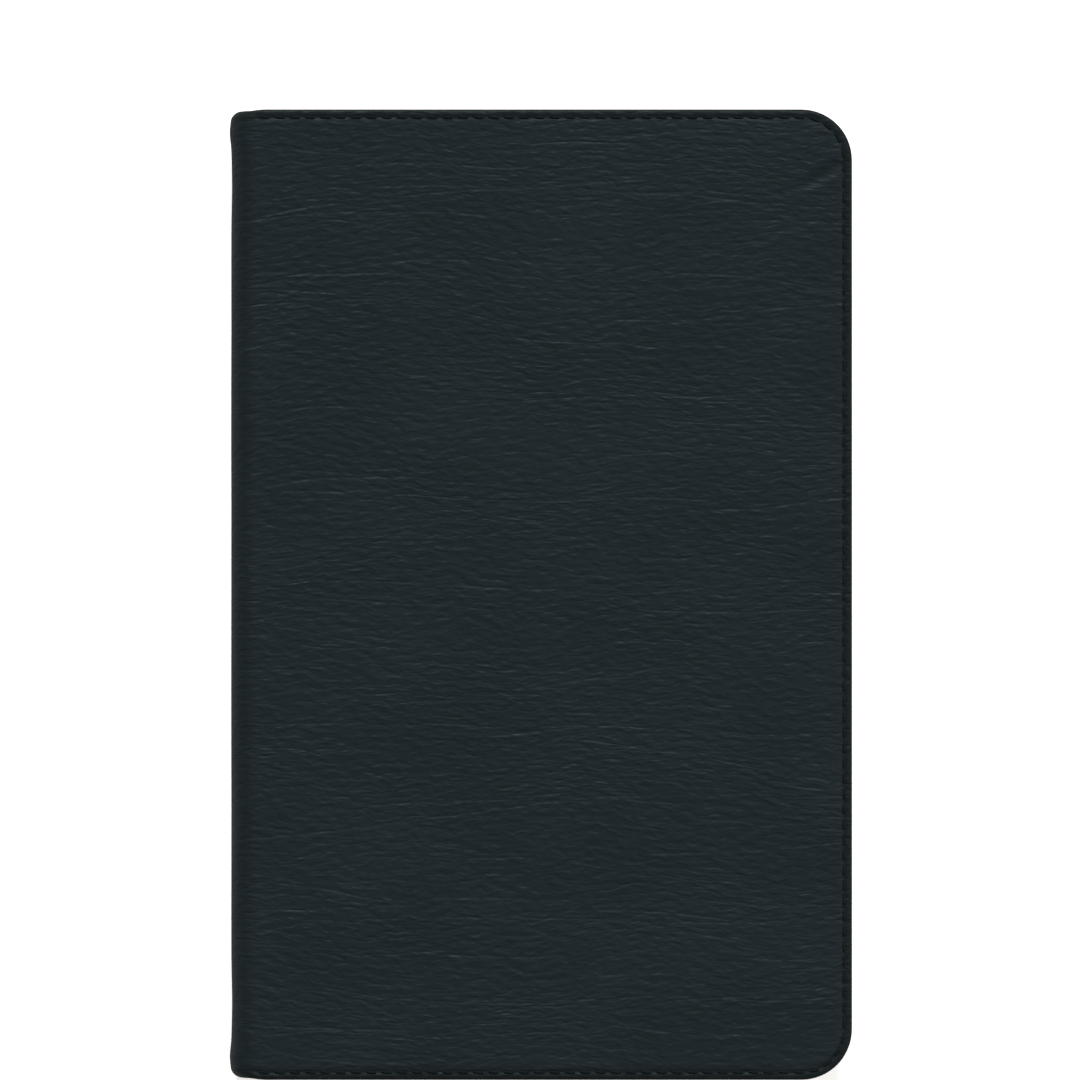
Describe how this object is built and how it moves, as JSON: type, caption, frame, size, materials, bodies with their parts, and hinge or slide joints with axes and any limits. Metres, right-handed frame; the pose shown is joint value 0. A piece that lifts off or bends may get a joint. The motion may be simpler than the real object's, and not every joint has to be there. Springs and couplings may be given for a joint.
{
  "type": "bible",
  "caption": "Slim limp-leather bible with a stitched edge, rounded fore-edge corners, gilt page edges, hinged covers, turning leaves and an inner ribbon marker.",
  "frame": {"origin": "centre of the closed book's footprint, on the surface that it lies on", "axes": "+X from the spine to the fore-edge, +Y from the tail to the head, +Z from the back cover to the front cover"},
  "size_m": [0.1386, 0.216, 0.024],
  "materials": {
    "cover_leather": "fine-grained blue-black leather with a soft sheen",
    "lining": "smooth black lining",
    "card": "grey-brown card",
    "thread": "waxed black thread",
    "mull": "open-weave starched gauze",
    "band": "woven red and cream band",
    "pages": "thin off-white paper with gilt edges",
    "endpaper": "heavier cream paper",
    "ribbon": "dark red satin ribbon"
  },
  "bodies": {
    "back_cover": {"back_cover_leather": "cover_leather", "back_cover_board": "card", "back_cover_lining": "lining", "back_cover_stitching": "thread"},
    "back_half": {"back_spine_leather": "cover_leather", "back_spine_liner": "card", "back_spine_mull": "mull", "back_sewing_thread": "thread", "back_headband": "band", "back_tailband": "band", "back_signatures": "pages", "ribbon_marker": "ribbon"},
    "front_half": {"front_spine_leather": "cover_leather", "front_spine_liner": "card", "front_spine_mull": "mull", "front_sewing_thread": "thread", "front_headband": "band", "front_tailband": "band", "front_signatures": "pages"},
    "front_cover": {"front_cover_leather": "cover_leather", "front_cover_board": "card", "front_cover_lining": "lining", "front_cover_stitching": "thread"},
    "back_flyleaf": {"back_flyleaf": "endpaper"},
    "front_flyleaf": {"front_flyleaf": "endpaper"},
    "middle_leaf_1": {"middle_leaf_1": "pages"},
    "middle_leaf_2": {"middle_leaf_2": "pages"},
    "middle_leaf_3": {"middle_leaf_3": "pages"}
  },
  "joints": [
    {"name": "back_cover_hinge", "type": "hinge", "parent": "back_cover", "child": "back_half", "pos_m": [-0.06325, 0, 0], "axis": [0, 1, 0], "range_deg": [-60, 0]},
    {"name": "centre_opening", "type": "hinge", "parent": "back_half", "child": "front_half", "pos_m": [-0.06925, 0, 0.012], "axis": [0, -1, 0], "range_deg": [0, 179]},
    {"name": "front_cover_hinge", "type": "hinge", "parent": "front_half", "child": "front_cover", "pos_m": [-0.06325, 0, 0.024], "axis": [0, 1, 0], "range_deg": [-120, 0]},
    {"name": "back_flyleaf_turn", "type": "hinge", "parent": "back_cover", "child": "back_flyleaf", "pos_m": [-0.06325, 0, 0], "axis": [0, 1, 0], "range_deg": [-31, 0]},
    {"name": "front_flyleaf_turn", "type": "hinge", "parent": "front_half", "child": "front_flyleaf", "pos_m": [-0.06325, 0, 0.024], "axis": [0, 1, 0], "range_deg": [-61, 0]},
    {"name": "middle_leaf_1_turn", "type": "hinge", "parent": "back_half", "child": "middle_leaf_1", "pos_m": [-0.06925, 0, 0.012], "axis": [0, -1, 0], "range_deg": [0, 46]},
    {"name": "middle_leaf_2_turn", "type": "hinge", "parent": "back_half", "child": "middle_leaf_2", "pos_m": [-0.06925, 0, 0.012], "axis": [0, -1, 0], "range_deg": [0, 91]},
    {"name": "middle_leaf_3_turn", "type": "hinge", "parent": "back_half", "child": "middle_leaf_3", "pos_m": [-0.06925, 0, 0.012], "axis": [0, -1, 0], "range_deg": [0, 136]}
  ],
  "couplings": [
    {"joint": "back_flyleaf_turn", "follows": "back_cover_hinge", "ratio": 0.5},
    {"joint": "front_flyleaf_turn", "follows": "front_cover_hinge", "ratio": 0.5},
    {"joint": "middle_leaf_1_turn", "follows": "centre_opening", "ratio": 0.25},
    {"joint": "middle_leaf_2_turn", "follows": "centre_opening", "ratio": 0.5},
    {"joint": "middle_leaf_3_turn", "follows": "centre_opening", "ratio": 0.75}
  ]
}
